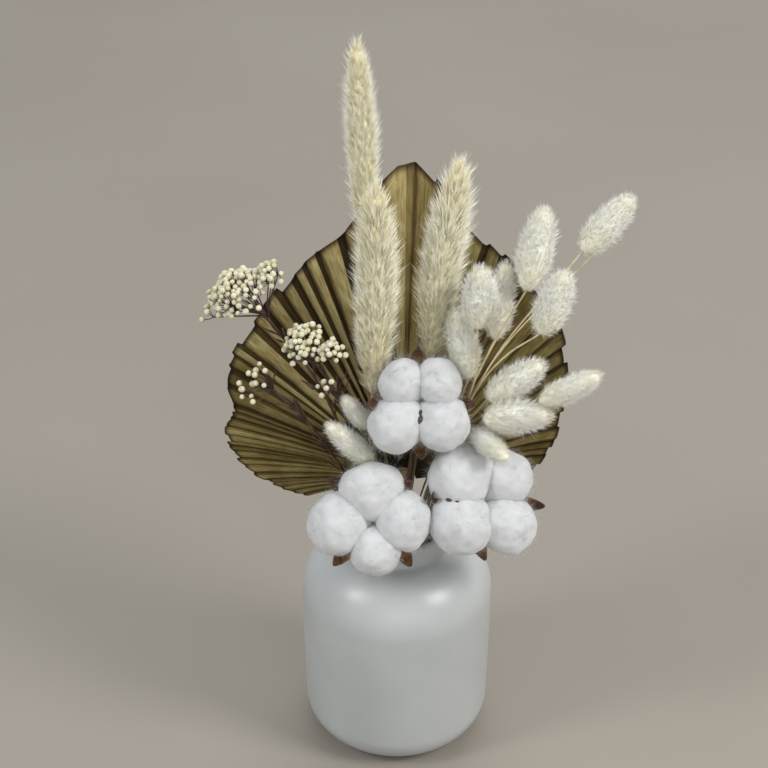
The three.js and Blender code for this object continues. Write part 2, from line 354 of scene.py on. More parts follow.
def pale_floor():
    material, shader = new_material("pale_floor", Roughness=0.9)
    recipe = Recipe(material)
    tone = recipe.ramp(recipe.noise(1.5), (0.3, (0.275, 0.245, 0.208)), (0.7, (0.31, 0.28, 0.24)))
    recipe.feed(shader.inputs["Base Color"], tone)
    return material


def satin_glaze():
    """White glaze, a little uneven in tone, with a faint orange-peel."""
    material, shader = new_material("satin_glaze", Coat_Weight=0.25, Coat_Roughness=0.3)
    recipe = Recipe(material)
    cloud = recipe.noise(22, detail=4)
    tone = recipe.ramp(cloud, (0.35, (0.43, 0.447, 0.444)), (0.7, (0.48, 0.497, 0.494)))
    recipe.feed(shader.inputs["Base Color"], tone)
    recipe.feed(shader.inputs["Roughness"], recipe.scaled(recipe.noise(90), 0.30, 0.42))
    recipe.feed(shader.inputs["Normal"], recipe.bump(recipe.noise(260, detail=2), 0.06, 0.0004))
    return material


def hair(name, root, foot, tip):
    """Hair that takes its root colour deep in the head as painted shade, and runs from foot to tip
    along it.
    """
    material, shader = new_material(
        name, Roughness=0.7, Sheen_Weight=0.4, Sheen_Roughness=0.5, Subsurface_Weight=0.3
    )
    shader.inputs["Subsurface Radius"].default_value = (0.002, 0.002, 0.0018)
    shader.inputs["Subsurface Scale"].default_value = 1
    recipe = Recipe(material)
    along = recipe.ramp(recipe.value("along"), (0.05, foot), (0.75, tip))
    # painted shade: deep in the head, where the tufts shade each other, the hair takes the root
    # colour
    reach = recipe.ramp(recipe.value("reach"), (0.45, (0, 0, 0)), (0.85, (1, 1, 1)))
    tone = recipe.mix(reach, root, along)
    patches = recipe.ramp(recipe.noise(180, detail=2), (0.3, (0.97, 0.96, 0.93)), (0.7, (1, 1, 1)))
    recipe.feed(shader.inputs["Base Color"], recipe.mix(1.0, tone, patches, "MULTIPLY"))
    return material


def lint_white():
    """Cotton lint: white and matte, faintly clouded, with a fine tangle of fibres."""
    material, shader = new_material(
        "lint_white", Roughness=0.95, Sheen_Weight=0.35, Sheen_Roughness=0.6, Subsurface_Weight=0.15
    )
    shader.inputs["Subsurface Radius"].default_value = (0.004, 0.004, 0.005)
    shader.inputs["Subsurface Scale"].default_value = 1
    recipe = Recipe(material)
    cloud = recipe.noise(140, detail=5, distortion=0.6)
    tone = recipe.ramp(cloud, (0.3, (0.57, 0.575, 0.58)), (0.65, (0.635, 0.64, 0.645)))
    recipe.feed(shader.inputs["Base Color"], tone)
    fibres = recipe.noise(700, detail=4, distortion=2.5)
    recipe.feed(shader.inputs["Normal"], recipe.bump(fibres, 0.25, 0.0003))
    return material


def burr_brown():
    """Dry hull: dark at its middle, tan further out and dark again at its points, blotched."""
    material, shader = new_material("burr_brown", Roughness=0.6)
    recipe = Recipe(material)
    along = recipe.value("along")
    tone = recipe.ramp(
        along, (0.0, (0.05, 0.022, 0.012)), (0.55, (0.30, 0.13, 0.05)), (0.8, (0.42, 0.22, 0.09)),
        (0.97, (0.06, 0.025, 0.015)),
    )
    streaks = recipe.ramp(recipe.noise(500, detail=5), (0.3, (0.45, 0.4, 0.38)), (0.6, (1, 1, 1)))
    recipe.feed(shader.inputs["Base Color"], recipe.mix(1.0, tone, streaks, "MULTIPLY"))
    recipe.feed(shader.inputs["Normal"], recipe.bump(recipe.noise(700), 0.5, 0.0003))
    return material


def bark(name, dark, light, roughness=0.8, shade=1):
    """A dry stalk: two tones in streaks up it, with fine ridges; low down, painted shade darkens it
    by the shade factor.
    """
    material, shader = new_material(name, Roughness=roughness)
    recipe = Recipe(material)
    grain = recipe.noise(300, detail=4, place=recipe.stretched((1, 1, 0.12)))
    tone = recipe.ramp(grain, (0.35, dark), (0.65, light))
    height = recipe.node("ShaderNodeSeparateXYZ", Vector=recipe.object_place).outputs["Z"]
    # painted shade: low on the stalk, under the bolls near the vase mouth
    low = recipe.ramp(height, (0.17, (shade, shade * 0.9, shade * 0.8)), (0.225, (1, 1, 1)))
    recipe.feed(shader.inputs["Base Color"], recipe.mix(1.0, tone, low, "MULTIPLY"))
    recipe.feed(shader.inputs["Normal"], recipe.bump(grain, 0.4, 0.0003))
    return material


def bud_cream():
    """Dry bud: cream petals, greener and browner towards its foot."""
    material, shader = new_material("bud_cream", Roughness=0.7, Sheen_Weight=0.1)
    recipe = Recipe(material)
    tone = recipe.ramp(
        recipe.value("along"), (0.0, (0.24, 0.17, 0.08)), (0.35, (0.50, 0.45, 0.26)),
        (0.8, (0.74, 0.71, 0.54)),
    )
    patches = recipe.ramp(recipe.noise(260), (0.35, (0.80, 0.76, 0.64)), (0.6, (1, 1, 1)))
    recipe.feed(shader.inputs["Base Color"], recipe.mix(1.0, tone, patches, "MULTIPLY"))
    recipe.feed(shader.inputs["Normal"], recipe.bump(recipe.noise(1400), 0.35, 0.0003))
    return material


def palm_olive():
    """Dried palm: olive and tan pleats with painted light and painted shade on their two faces,
    painted shade in their folds and towards the hub, and burnt at the cut edge.
    """
    material, shader = new_material("palm_olive", Roughness=0.6, Specular_IOR_Level=0.25)
    recipe = Recipe(material)
    # painted light and painted shade: the tones of the lit and shaded pleat faces
    painted_light_tone = recipe.ramp(
        recipe.value("painted_light_tone"), (0.0, (0.035, 0.020, 0.006)), (0.3, (0.14, 0.10, 0.03)),
        (0.65, (0.37, 0.30, 0.12)), (1.0, (0.58, 0.49, 0.235)),
    )
    # painted shade: darker in the pleats' folds, where the folded layers shade each other
    fold_shade_mask = recipe.ramp(recipe.value("fold_shade_mask"), (0.02, (0.30, 0.24, 0.18)), (0.35, (1, 1, 1)))
    tone = recipe.mix(1.0, painted_light_tone, fold_shade_mask, "MULTIPLY")
    uv = recipe.node("ShaderNodeUVMap").outputs["UV"]
    mapping = recipe.node("ShaderNodeMapping", Vector=uv)
    mapping.inputs["Scale"].default_value = (700, 14, 1)
    grain = recipe.noise(1, detail=4, place=mapping.outputs["Vector"])
    streaks = recipe.ramp(grain, (0.32, (0.56, 0.52, 0.44)), (0.6, (1, 1, 1)))
    tone = recipe.mix(1.0, tone, streaks, "MULTIPLY")
    blotches = recipe.ramp(recipe.noise(45, detail=5), (0.35, (0.70, 0.63, 0.52)), (0.6, (1, 1, 1)))
    tone = recipe.mix(1.0, tone, blotches, "MULTIPLY")
    out = recipe.node("ShaderNodeSeparateXYZ", Vector=uv).outputs["Y"]
    # painted shade: darker towards the hub, under the bolls; the darkening at the very rim is the
    # real burnt cut edge
    ends = recipe.ramp(
        out, (0.05, (0.10, 0.07, 0.05)), (0.36, (1, 1, 1)), (0.972, (1, 1, 1)),
        (0.994, (0.2, 0.15, 0.12)),
    )
    recipe.feed(shader.inputs["Base Color"], recipe.mix(1.0, tone, ends, "MULTIPLY"))
    recipe.feed(shader.inputs["Normal"], recipe.bump(grain, 0.9, 0.0007))
    return material


# ---------------------------------------------------------------- the vase

VASE_WALL = 4 * MM
VASE_FOOT_INSET = 1 * MM
VASE_BASE_ROUND = 20 * MM
VASE_SHOULDER_ROUND = 30 * MM
VASE_SHOULDER_START = 90 * MM
VASE_NECK_RADIUS = 26 * MM
VASE_RIM_RADIUS = 28 * MM
VASE_STEPS = 128


def arc(centre, radius, start, end, steps):
    """Points on an arc in the vase's profile, angles in degrees from outwards."""
    angles = [math.radians(start + (end - start) * i / steps) for i in range(steps + 1)]
    return [(centre[0] + radius * math.cos(a), centre[1] + radius * math.sin(a)) for a in angles]


def vase_profile():
    """(distance from the axis, height) pairs, from the middle of the base round to the inside."""
    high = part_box("vase")[1]
    radius, height = high.x, high.z
    foot = (radius - VASE_FOOT_INSET - VASE_BASE_ROUND, VASE_BASE_ROUND)
    shoulder = (radius - VASE_SHOULDER_ROUND, VASE_SHOULDER_START)
    neck_angle = math.degrees(math.acos((VASE_NECK_RADIUS - shoulder[0]) / VASE_SHOULDER_ROUND))
    lip = VASE_WALL / 2
    outside = (
        [(0, 0)]
        + arc(foot, VASE_BASE_ROUND, -90, 0, 14)
        + [(radius - 0.4 * MM, VASE_SHOULDER_START * 0.6)]
        + arc(shoulder, VASE_SHOULDER_ROUND, 0, neck_angle, 16)
    )
    mouth = arc((VASE_RIM_RADIUS - lip, height - lip), lip, 0, 180, 8)
    inner_shoulder = arc(shoulder, VASE_SHOULDER_ROUND - VASE_WALL, 90, 0, 12)
    inner_foot = arc(foot, VASE_BASE_ROUND - VASE_WALL, 0, -90, 10)
    return outside + mouth + inner_shoulder + inner_foot + [(0, VASE_WALL)]


def add_vase(glaze):
    bm = bmesh.new()
    ring = [bm.verts.new((x, 0, z)) for x, z in vase_profile()]
    edges = [bm.edges.new(pair) for pair in zip(ring, ring[1:])]
    bmesh.ops.spin(
        bm, geom=ring + edges, cent=(0, 0, 0), axis=(0, 0, 1), angle=2 * math.pi, steps=VASE_STEPS,
        use_merge=True,
    )
    bmesh.ops.remove_doubles(bm, verts=bm.verts, dist=0.01 * MM)
    bmesh.ops.recalc_face_normals(bm, faces=bm.faces)
    vase = object_from(bm, "glazed_vase", glaze, smooth=True)
    declare(vase, "glaze", "vase")


# ---------------------------------------------------------------- stalks

STALK_SIDES = 6


def stalk_run(node, taper=0.75):
    """The run of a CAD stem, as thick as the stem at its foot and thinner at its top."""
    centres, radii = centre_line(node, STALK_SIDES)
    shares = np.linspace(1, taper, len(centres))
    return [(Vector(c), r * s) for c, r, s in zip(centres, radii, shares)]


def add_stalk(name, slot, material, node, taper=0.75):
    stalk = canes(name, [stalk_run(node, taper)], material)
    declare(stalk, slot, node)


# ---------------------------------------------------------------- hair

TUFT_KINDS = 6
HAIR_MIDDLE_SIZE = 0.72
HAIR_TIP_SIZE = 0.02
TAIL_TUFTS = 430
TAIL_CORE_SHARE = 0.95
TAIL_FULL_RADIUS = 7 * MM
PLUME_TUFTS = 560
PLUME_CORE_SHARE = 0.7
PLUME_FULL_RADIUS = 9.5 * MM


def grow_hair(bm, root, lean, length, width, bend):
    """Adds a closed three-sided hair that tapers to a point; its bend is a small angle."""
    made = bmesh.ops.create_circle(bm, cap_ends=True, segments=3, radius=width / 2)
    ring = made["verts"]
    face = ring[0].link_faces[0]
    rise = Matrix.Translation((0, 0, length / 2))
    for turn, size in ((bend, HAIR_MIDDLE_SIZE), (2 * bend, HAIR_TIP_SIZE)):
        grown = bmesh.ops.extrude_face_region(bm, geom=[face])["geom"]
        tips = [v for v in grown if isinstance(v, bmesh.types.BMVert)]
        centre = sum((v.co for v in tips), Vector()) / 3
        bmesh.ops.scale(bm, verts=tips, vec=(size,) * 3, space=Matrix.Translation(-centre))
        step = Matrix.Rotation(turn, 4, "Y") @ rise
        bmesh.ops.translate(bm, verts=tips, vec=step.translation)
        ring += tips
        face = next(f for f in grown if isinstance(f, bmesh.types.BMFace))
    bmesh.ops.pointmerge(bm, verts=tips, merge_co=sum((v.co for v in tips), Vector()) / 3)
    ring = [v for v in ring if v.is_valid]
    bmesh.ops.transform(bm, matrix=Matrix.Translation(root) @ lean, verts=ring)


def tufts(name, hairs, length, width, spread, bend, patch, seed):
    """The kinds of tuft: hairs that grow up from a small patch and part by the spread angle."""
    rng = random.Random(seed)
    made = []
    for kind in range(TUFT_KINDS):
        bm = bmesh.new()
        for _ in range(hairs):
            turn = rng.uniform(0, 2 * math.pi)
            part = spread * math.sqrt(rng.random())
            lean = Matrix.Rotation(turn, 4, "Z") @ Matrix.Rotation(part, 4, "Y")
            start = Vector((rng.uniform(-1, 1), rng.uniform(-1, 1), 0)) * patch
            size = rng.uniform(0.7, 1.1)
            grow_hair(bm, start, lean, length * size, width, bend * rng.uniform(-0.4, 1))
        bmesh.ops.recalc_face_normals(bm, faces=bm.faces)
        made.append(mesh_from(bm, f"{name}_{kind}"))
    return made


def tuft_place(root, direction, size, rng):
    turn = Matrix.Rotation(rng.uniform(0, 2 * math.pi), 4, "Z")
    aim = direction.to_track_quat("Z", "Y").to_matrix().to_4x4()
    return Matrix.Translation(root) @ aim @ turn @ Matrix.Scale(size, 4)


def head_core(node, spine, share):
    """The solid middle of a hairy head: the CAD head drawn in towards its spine and rounded."""
    bm = bmesh.new()
    bm.from_mesh(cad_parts[node].data)
    bmesh.ops.remove_doubles(bm, verts=bm.verts, dist=0.02 * MM)
    for vert in bm.verts:
        gaps = np.linalg.norm(spine.centres - np.array(vert.co), axis=1)
        centre = Vector(spine.centres[gaps.argmin()])
        vert.co = centre.lerp(vert.co, share)
    bmesh.ops.subdivide_edges(bm, edges=bm.edges, cuts=1, smooth=0.6, use_grid_fill=True)
    return mesh_from(bm, f"{node}_core")


def hairy_head(node, name, kinds, count, core_share, leans, sizes, material, slot, seed):
    """A hairy head: a core and tufts that lean from its foot to its tip by the given angles."""
    rng = random.Random(seed)
    spine = Spine(node)
    fine = np.linspace(0, 1, 100)
    weight = np.cumsum([spine.radius(s) + 0.12 * spine.widest for s in fine])
    places = []
    for i in range(count):
        share = float(np.interp((i + rng.random()) / count, weight / weight[-1], fine))
        out = spine.outward(share, i * GOLDEN_ANGLE + rng.uniform(-0.2, 0.2))
        lean = np.interp(share, (0, 0.12, 0.5, 0.9, 1), leans) + rng.gauss(0, math.radians(6))
        direction = spine.direction(share) * math.cos(lean) + out * math.sin(lean)
        root = spine.point(share) + out * spine.radius(share) * core_share * 0.9
        size = np.interp(share, (0, 0.2, 0.7, 1), sizes) * rng.uniform(0.82, 1.12)
        places.append((rng.choice(kinds), tuft_place(root, direction, size, rng)))
    core = head_core(node, spine, core_share)
    bm = joined_copies(places + [(core, Matrix.Identity(4))])
    head = object_from(bm, name, material, smooth=True)
    along, gap = spine.measure(head.data)
    add_point_values(head.data, "along", along)
    # how deep in the head each vertex lies, which the hair material turns into painted shade
    add_point_values(head.data, "reach", gap / (spine.widest * 1.3))
    declare(head, slot, node)


def degrees(*angles):
    return [math.radians(a) for a in angles]


def add_bunny_tails(straw):
    # the first colour is the painted shade deep in the head
    cream = hair("tail_hair", (0.96, 0.93, 0.79), (0.97, 0.94, 0.76), (0.98, 0.98, 0.94))
    kinds = tufts(
        "tail_tuft", hairs=6, length=6.5 * MM, width=0.26 * MM, spread=math.radians(36),
        bend=0.0012, patch=1.7 * MM, seed=3,
    )
    for number in BUNNY_TAILS:
        node = f"bunny_tail_{number}_head"
        full = Spine(node).widest / TAIL_FULL_RADIUS
        hairy_head(
            node, f"bunny_tail_{number}_hair", kinds, TAIL_TUFTS, TAIL_CORE_SHARE,
            leans=degrees(95, 52, 34, 20, 6),
            sizes=[0.6 * full, 0.95 * full, 1.0 * full, 0.8 * full],
            material=cream, slot="tail", seed=100 + number,
        )
        add_stalk(f"bunny_tail_{number}_stalk", "straw", straw, f"bunny_tail_{number}_stem")
    add_stalk("bare_stalk", "straw", straw, "bunny_tail_bare_stem", taper=0.6)


def add_plumes(straw):
    # the first colour is the painted shade deep in the head
    cream = hair("plume_hair", (0.96, 0.88, 0.58), (0.97, 0.92, 0.66), (0.98, 0.95, 0.77))
    kinds = tufts(
        "plume_tuft", hairs=11, length=12 * MM, width=0.32 * MM, spread=math.radians(17),
        bend=0.0014, patch=0.8 * MM, seed=5,
    )
    for number in PLUMES:
        node = f"plume_{number}_head"
        full = Spine(node).widest / PLUME_FULL_RADIUS
        hairy_head(
            node, f"plume_{number}_hair", kinds, PLUME_TUFTS, PLUME_CORE_SHARE,
            leans=degrees(24, 28, 30, 22, 8),
            sizes=[0.8 * full, 1.0 * full, 1.05 * full, 0.95 * full],
            material=cream, slot="plume", seed=200 + number,
        )
        add_stalk(f"plume_{number}_stalk", "straw", straw, f"plume_{number}_stem")


# ---------------------------------------------------------------- cotton

LOCKS = range(1, 5)
LINT_VOXEL = 1.35 * MM
LUMP_DEPTH = 1.5 * MM
BIG_LUMP = 10 * MM
SMALL_LUMP = 3.5 * MM
LINT_TUFTS = 290
CUP_RADIUS = 7.5 * MM
CUP_DROP = 13 * MM
BRACT_LIFT = 9 * MM
BRACT_THICKNESS = 0.5 * MM


def boll_frame(number):
    """A boll's own axes, with its facing along Z and a bract along X, and its bracts' reach."""
    locks = [points_of(f"cotton_{number}_lock_{i}").mean(0) for i in LOCKS]
    middle = Vector(np.mean(locks, axis=0))
    burr = points_of(f"cotton_{number}_burr")
    across = (Vector(locks[0]) + Vector(locks[3])) / 2 - middle
    up = (Vector(locks[0]) + Vector(locks[1])) / 2 - middle
    facing = across.cross(up).normalized()
    across.normalize()
    reach = max((Vector(p) - middle).dot(across) for p in burr)
    axes = Matrix((across, facing.cross(across), facing)).transposed().to_4x4()
    return Matrix.Translation(middle) @ axes, reach


def lock_body(number, lock, seed):
    """A soft, lumpy lock of lint in the space of its CAD solid."""
    node = f"cotton_{number}_lock_{lock}"
    bm = bmesh.new()
    bm.from_mesh(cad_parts[node].data)
    bmesh.ops.remove_doubles(bm, verts=bm.verts, dist=0.02 * MM)
    block = object_from(bm, f"{node}_block")
    even = block.modifiers.new("even", "REMESH")
    even.mode = "VOXEL"
    even.voxel_size = LINT_VOXEL
    soften = block.modifiers.new("soften", "SMOOTH")
    soften.factor = 0.5
    soften.iterations = 8
    mesh = evaluated_mesh(block)
    shift = Vector((seed * 7.3, seed * 3.1, 0))
    normals = np.empty(len(mesh.vertices) * 3)
    mesh.vertex_normals.foreach_get("vector", normals)
    swell = []
    for place in coordinates(mesh):
        big = noise.noise(Vector(place) / BIG_LUMP + shift)
        small = noise.noise(Vector(place) / SMALL_LUMP + shift)
        swell.append(LUMP_DEPTH * (big + 1.0 + 0.3 * small))
    places = coordinates(mesh) + normals.reshape(-1, 3) * np.array(swell)[:, None]
    mesh.vertices.foreach_set("co", places.ravel())
    mesh.update()
    return mesh


def fluffy_lock(number, lock, kinds, lint):
    """A lock's body with tufts of lint on it, each rooted just under the surface."""
    seed = 10 * number + lock
    rng = random.Random(seed)
    body = lock_body(number, lock, seed)
    faces = rng.sample(list(body.polygons), k=min(LINT_TUFTS, len(body.polygons)))
    places = []
    for face in faces:
        sideways = Vector((rng.gauss(0, 1), rng.gauss(0, 1), rng.gauss(0, 1))).cross(face.normal)
        direction = (face.normal + sideways * 0.5).normalized()
        root = face.center - face.normal * 0.1 * MM
        places.append((rng.choice(kinds), tuft_place(root, direction, rng.uniform(0.7, 1.3), rng)))
    bm = joined_copies(places + [(body, Matrix.Identity(4))])
    piece = object_from(bm, f"cotton_{number}_lint_{lock}", lint, smooth=True)
    declare(piece, "lint", f"cotton_{number}_lock_{lock}")


def bract(reach, turn, width, lift):
    """A pointed, boat-shaped bract that leaves the cup, passes between two locks and curls up."""
    rows, columns = 14, 6
    bm = bmesh.new()
    bmesh.ops.create_grid(bm, x_segments=rows, y_segments=columns, size=0.5)
    path = [Vector((2 * MM, 0, -12 * MM)), Vector((0.55 * reach, 0, -10 * MM)),
            Vector((0.88 * reach, 0, -1 * MM)), Vector((reach, 0, lift))]
    knots = np.linspace(0, 1, len(path))
    for vert in bm.verts:
        along, across = vert.co.x + 0.5, vert.co.y * 2
        bend = (along - 0.5) * 0.06
        centre = Vector([np.interp(along + bend, knots, [p[k] for p in path]) for k in range(3)])
        half = width / 2 * math.sin(math.pi * min(1, along * 0.8 + 0.2)) ** 0.8
        cupped = abs(across) ** 2 * half * 0.6
        slope = Vector((-0.35, 0, 1)) * cupped
        vert.co = centre + Vector((0, across * half, 0)) + slope
    bmesh.ops.smooth_vert(
        bm, verts=bm.verts, factor=0.5, use_axis_x=True, use_axis_y=True, use_axis_z=True
    )
    bmesh.ops.rotate(bm, verts=bm.verts, cent=(0, 0, 0), matrix=Matrix.Rotation(turn, 3, "Z"))
    return bm


# Dark scraps of seed and hull that show between the locks, as (place in the boll, radius) in mm.
SEEDS = {
    1: [((0.3, -8, 6.8), 3.2), ((1.4, -11, 6.6), 2.9), ((-0.6, -5, 6.4), 2.4)],
    3: [((-20, 0, 7.6), 2.8), ((-17.4, -1.6, 9.6), 1.7), ((-13.5, -4.2, 12), 1.1)],
}


def add_burr(number, brown, bark_brown):
    """A boll's hull, a flat cup with four bracts and the seeds' scraps, and its stalk."""
    place, reach = boll_frame(number)
    rng = random.Random(40 + number)
    whole = bmesh.new()
    cup = bmesh.new()
    bmesh.ops.create_uvsphere(cup, u_segments=20, v_segments=12, radius=CUP_RADIUS)
    bmesh.ops.scale(cup, verts=cup.verts, vec=(1, 1, 0.5))
    bmesh.ops.translate(cup, verts=cup.verts, vec=(0, 0, -CUP_DROP))
    carrier = bpy.data.meshes.new("carrier")
    for i in range(4):
        turn = i * math.pi / 2 + rng.uniform(-0.06, 0.06)
        leaf = bract(reach * rng.uniform(0.97, 1.03), turn, rng.uniform(8, 10) * MM, BRACT_LIFT)
        bmesh.ops.solidify(leaf, geom=leaf.faces, thickness=BRACT_THICKNESS)
        leaf.to_mesh(carrier)
        whole.from_mesh(carrier)
        leaf.free()
    for middle, radius in SEEDS.get(number, ()):
        bmesh.ops.create_icosphere(
            cup, subdivisions=2, radius=radius * MM, matrix=Matrix.Translation(Vector(middle) * MM)
        )
    cup.to_mesh(carrier)
    whole.from_mesh(carrier)
    cup.free()
    bpy.data.meshes.remove(carrier)
    along = []
    for vert in whole.verts:
        out = vert.co.xy.length / reach
        is_scrap = vert.co.z > 3 * MM and out < 0.8
        along.append(0 if is_scrap else min(1, out))
    bmesh.ops.transform(whole, matrix=place, verts=whole.verts)
    bmesh.ops.recalc_face_normals(whole, faces=whole.faces)
    burr = object_from(whole, f"cotton_{number}_hull", brown, smooth=True)
    add_point_values(burr.data, "along", along)
    declare(burr, "burr", f"cotton_{number}_burr")
    add_stalk(f"cotton_{number}_stalk", "wood_stem", bark_brown, f"cotton_{number}_stem", taper=0.9)


def add_cotton():
    lint, brown = lint_white(), burr_brown()
    bark_brown = bark("cotton_bark", (0.05, 0.03, 0.02), (0.14, 0.09, 0.06))
    kinds = tufts(
        "lint_tuft", hairs=5, length=4.2 * MM, width=0.07 * MM, spread=math.radians(62),
        bend=0.0016, patch=1.8 * MM, seed=8,
    )
    for number in COTTON_BOLLS:
        for lock in LOCKS:
            fluffy_lock(number, lock, kinds, lint)
        add_burr(number, brown, bark_brown)


# ---------------------------------------------------------------- rice flower

# Each sprig's clusters: (right, up, radius) as shares of the head's radius, and a bud count.
RICE_HEADS = {
    1: [(-0.05, -0.1, 0.8, 90), (0.55, 0.8, 0.38, 24), (-0.5, -1.0, 0.25, 4), (-0.8, -0.6, 0.15, 2)],
    2: [(-0.2, 0, 0.82, 50), (1.0, -0.1, 0.5, 22)],
    3: [(0.2, 0.5, 0.6, 8), (-0.3, -0.5, 0.5, 5), (0.4, -0.9, 0.3, 2)],
    4: [(0, 0, 1, 5)],
}
BUD_RADIUS = 1.55 * MM
BUDS_PER_BRANCH = 6
MAIN_STEM_RADIUS = 0.8 * MM
SIDE_SHOOTS = 26
LEAVES_PER_TWIG = 3


def bud_mesh():
    """A small egg-shaped bud whose petals close in a dimpled top."""
    bm = bmesh.new()
    profile = [(0, 0), (0.62, 0.15), (1, 0.75), (0.92, 1.35), (0.55, 1.8), (0.2, 1.72), (0, 1.6)]
    ring = [bm.verts.new((x * BUD_RADIUS, 0, z * BUD_RADIUS)) for x, z in profile]
    edges = [bm.edges.new(pair) for pair in zip(ring, ring[1:])]
    bmesh.ops.spin(
        bm, geom=ring + edges, cent=(0, 0, 0), axis=(0, 0, 1), angle=2 * math.pi, steps=8,
        use_merge=True,
    )
    bmesh.ops.remove_doubles(bm, verts=bm.verts, dist=0.01 * MM)
    bmesh.ops.recalc_face_normals(bm, faces=bm.faces)
    return mesh_from(bm, "bud")


def rice_frame(number):
    """The middle, facing and radius of a rice flower head, from its CAD solid."""
    points = points_of(f"rice_flower_{number}_buds")
    middle = points.mean(0)
    facing = Vector(np.linalg.svd(points - middle, full_matrices=False)[2][2])
    if facing.z < 0:
        facing = -facing
    radius = np.linalg.norm(points - middle, axis=1).max()
    return Vector(middle), facing, radius


def dry_leaf_mesh():
    """A narrow dried leaf, a flattened spindle that grows up from the origin."""
    bm = bmesh.new()
    bmesh.ops.create_uvsphere(bm, u_segments=6, v_segments=5, radius=0.5)
    bmesh.ops.scale(bm, verts=bm.verts, vec=(0.16, 0.05, 1))
    bmesh.ops.translate(bm, verts=bm.verts, vec=(0, 0, 0.5))
    return mesh_from(bm, "dry_leaf")


def grow_cluster(middle, facing, radius, count, fork, rng):
    """One domed cluster: its buds' (foot, direction) pairs, and the runs of its twigs."""
    side = UP.cross(facing).normalized()
    rise = facing.cross(side)
    branches = max(1, round(count / BUDS_PER_BRANCH))
    ends = []
    for i in range(branches):
        distance = radius * 0.62 * math.sqrt((i + 0.5) / branches)
        out = side * math.cos(i * GOLDEN_ANGLE) + rise * math.sin(i * GOLDEN_ANGLE)
        ends.append(middle + out * distance - facing * radius * rng.uniform(0.25, 0.5))
    runs = []
    for end in ends:
        half = fork.lerp(end, 0.5) + facing * 0.06 * radius
        runs.append([(fork, 0.45 * MM), (half, 0.36 * MM), (end, 0.28 * MM)])
    spots = []
    for i in range(count):
        distance = radius * math.sqrt((i + 0.5) / count)
        out = side * math.cos(i * GOLDEN_ANGLE) + rise * math.sin(i * GOLDEN_ANGLE)
        dome = 0.75 * radius * (1 - (distance / radius) ** 2)
        spot = middle + out * distance * rng.uniform(0.9, 1.08)
        spot += facing * (dome - 0.1 * radius + rng.uniform(-2.4, 1.8) * MM)
        end = min(ends, key=lambda e: (e - spot).length)
        direction = (spot - end).normalized().lerp(facing, 0.4).normalized()
        spots.append((spot, direction))
        runs.append([(end, 0.24 * MM), (end.lerp(spot, 0.6) - facing * 0.5 * MM, 0.2 * MM),
                     (spot + direction * 0.3 * MM, 0.2 * MM)])
    return spots, runs


def add_rice_flower(number, bud, leaf, cream, twig):
    rng = random.Random(60 + number)
    middle, facing, radius = rice_frame(number)
    side = UP.cross(facing).normalized()
    rise = facing.cross(side)
    fork = middle - facing * (1.2 * radius + 3 * MM)
    runs, places = [], []
    for right, up, share, count in RICE_HEADS[number]:
        centre = middle + (side * right + rise * up) * radius
        spots, twigs = grow_cluster(centre, facing, radius * share, count, fork, rng)
        runs += twigs
        for spot, direction in spots:
            places.append((bud, tuft_place(spot, direction, rng.uniform(0.8, 1.12), rng)))
    buds = object_from(joined_copies(places), f"rice_flower_{number}_bud_cluster", cream, smooth=True)
    heights = coordinates(bud)[:, 2] / coordinates(bud)[:, 2].max()
    add_point_values(buds.data, "along", np.tile(heights, len(places)))
    declare(buds, "bud", f"rice_flower_{number}_buds")
    add_twigs(number, runs, fork, leaf, twig, rng)


def main_stem_run(number, fork):
    """The main stem's run: the CAD stem's vertices below the fork, in slices by height."""
    points = points_of(f"rice_flower_{number}_stem")
    low, high = points[:, 2].min(), fork.z - 3 * MM
    run = []
    for height in np.linspace(low, high, 9):
        near = points[np.argsort(abs(points[:, 2] - height))[:STALK_SIDES]]
        centre = Vector(near.mean(0))
        if not run or (centre - run[-1][0]).length > 6 * MM:
            run.append((centre, MAIN_STEM_RADIUS))
    return run + [(fork, 0.55 * MM)]


def add_twigs(number, runs, fork, leaf, twig, rng):
    """The sprig's main stem and twigs, with short side shoots and small dried leaves."""
    main = main_stem_run(number, fork)
    leaves = []
    upper = [point for point, _ in main[len(main) // 2:]]
    for i in range(SIDE_SHOOTS):
        k = rng.uniform(0, len(upper) - 1.01)
        start = upper[int(k)].lerp(upper[int(k) + 1], k % 1)
        along = (upper[int(k) + 1] - upper[int(k)]).normalized()
        around = Vector((rng.gauss(0, 1), rng.gauss(0, 1), rng.gauss(0, 1))).cross(along).normalized()
        direction = (along + around * rng.uniform(0.25, 0.7)).normalized()
        length = rng.uniform(8, 20) * MM
        tip = start + direction * length
        if i % 2:
            bend = start.lerp(tip, 0.5) + along * 1.5 * MM
            runs.append([(start, 0.35 * MM), (bend, 0.28 * MM), (tip, 0.16 * MM)])
            for _ in range(LEAVES_PER_TWIG):
                spur = start.lerp(tip, rng.uniform(0.4, 1))
                leaves.append((leaf, tuft_place(spur, direction, rng.uniform(3, 6) * MM, rng)))
        else:
            leaves.append((leaf, tuft_place(start, direction, length * 0.7, rng)))
    stem = canes(f"rice_flower_{number}_wood", [main] + runs, twig, sides=6)
    bm = joined_copies(leaves + [(stem.data, Matrix.Identity(4))])
    bpy.data.objects.remove(stem)
    piece = object_from(bm, f"rice_flower_{number}_twigs", twig, smooth=True)
    declare(piece, "twig", f"rice_flower_{number}_stem")


def add_rice_flowers():
    cream = bud_cream()
    twig = bark("twig_brown", (0.035, 0.018, 0.014), (0.13, 0.075, 0.05))
    bud, leaf = bud_mesh(), dry_leaf_mesh()
    for number in RICE_FLOWERS:
        add_rice_flower(number, bud, leaf, cream, twig)


# ---------------------------------------------------------------- the palm leaf

